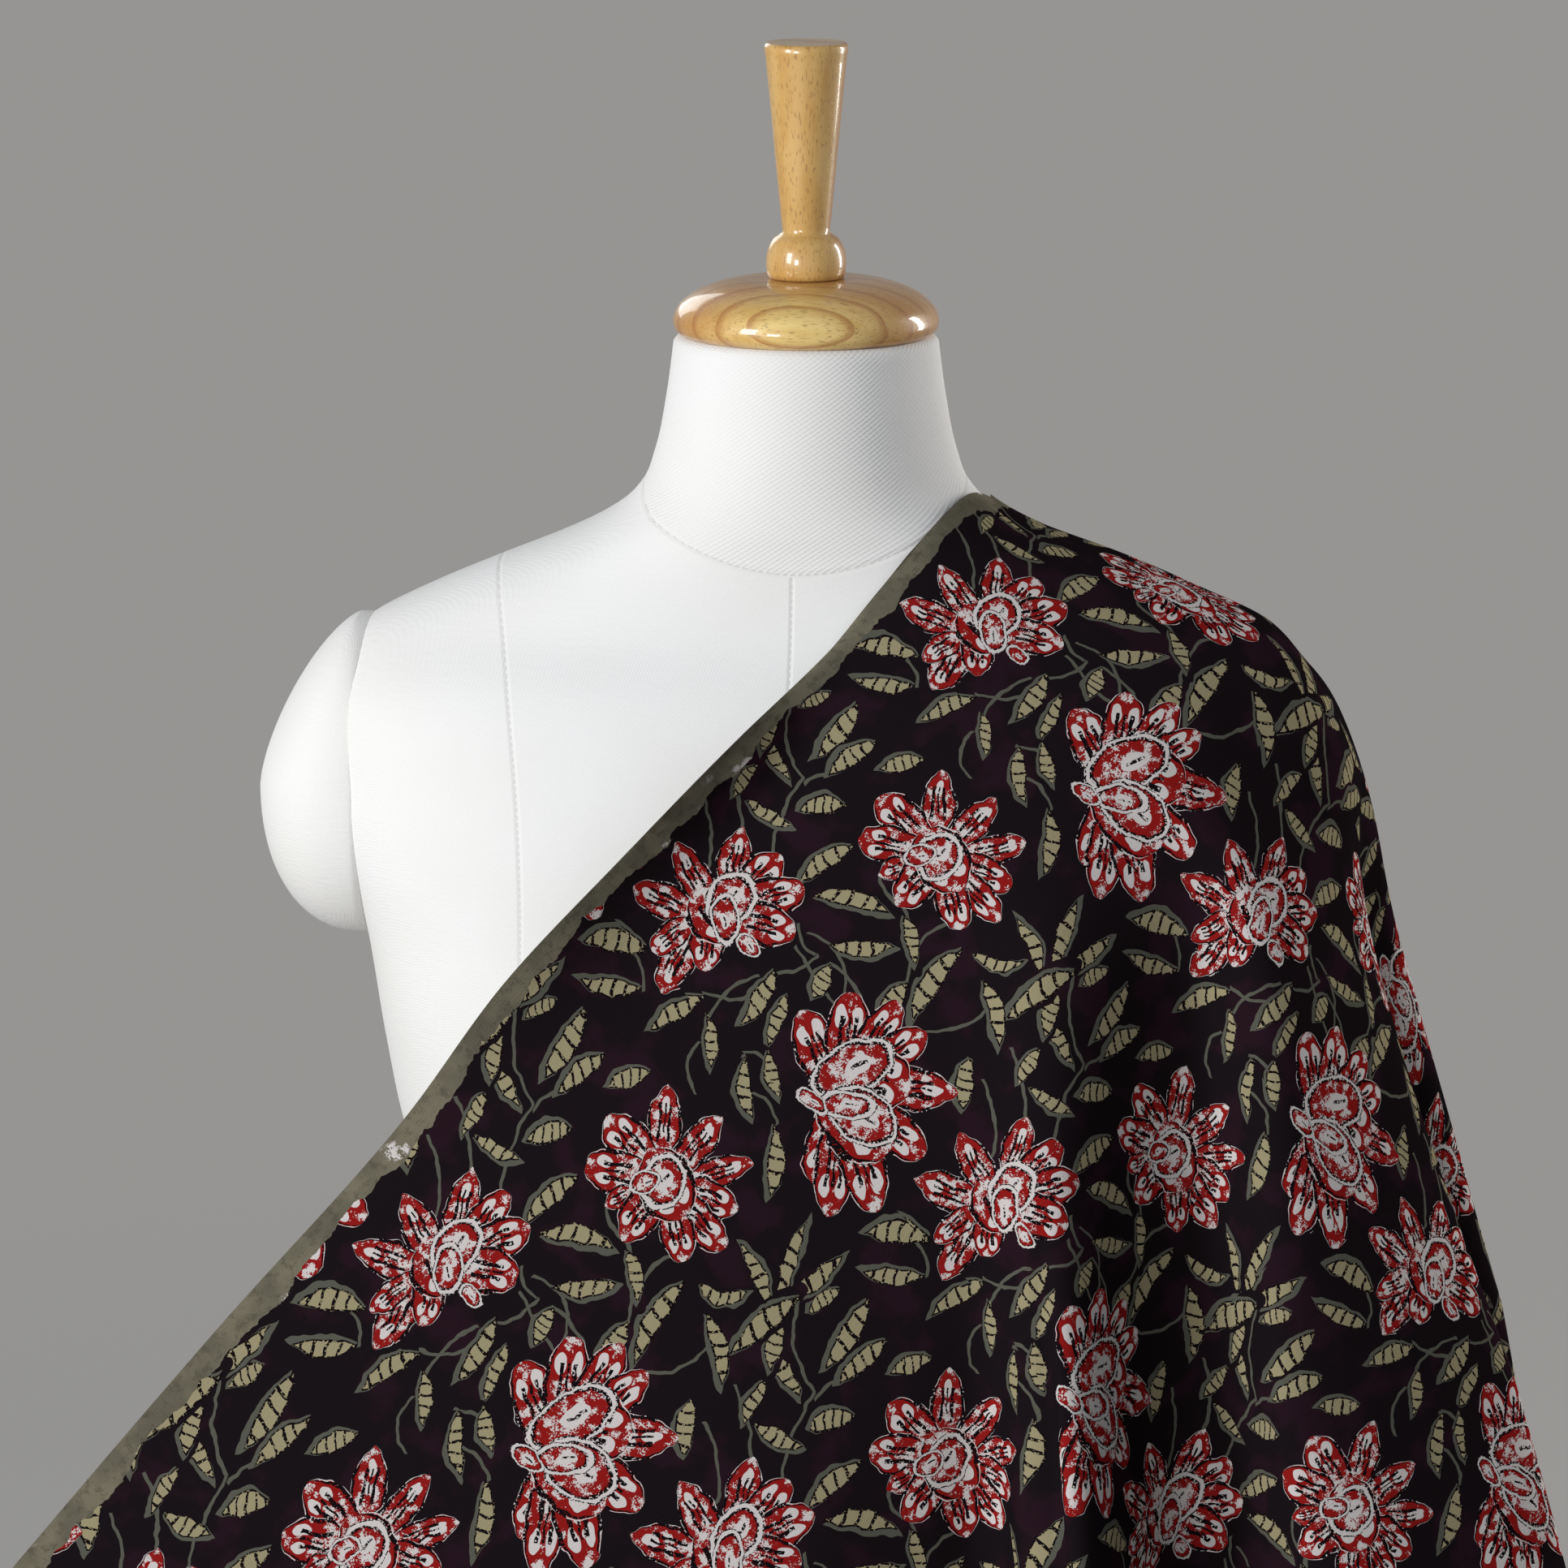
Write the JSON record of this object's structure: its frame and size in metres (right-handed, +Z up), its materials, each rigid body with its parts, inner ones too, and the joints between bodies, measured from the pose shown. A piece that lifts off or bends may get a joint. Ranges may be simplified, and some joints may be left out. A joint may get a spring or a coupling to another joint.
{
  "type": "block-printed cotton fabric draped on a dress form",
  "caption": "Black-ground floral block-printed cotton draped from one shoulder of a cloth-covered dress form with a turned wooden neck cap and handle.",
  "frame": {"origin": "middle of the form's flat base, on the surface that it stands on", "axes": "+Z up along the form, the form faces -Y, and the cloth hangs from the shoulder on the +X side"},
  "size_m": [0.9077, 0.4444, 0.8734],
  "materials": {
    "canvas": "off-white twill cover stretched over the form, matt, with fine stitched seams",
    "varnished_wood": "honey-coloured turned wood under a glossy varnish",
    "printed_cotton": "plain-weave cotton, purple-black ground block-printed in red, grey-white, khaki and olive, with an olive selvedge"
  },
  "bodies": {
    "root": {"torso": "canvas", "arm_left": "canvas", "arm_right": "canvas", "neck_cap": "varnished_wood", "finial": "varnished_wood", "printed_cloth": "printed_cotton"}
  },
  "joints": []
}
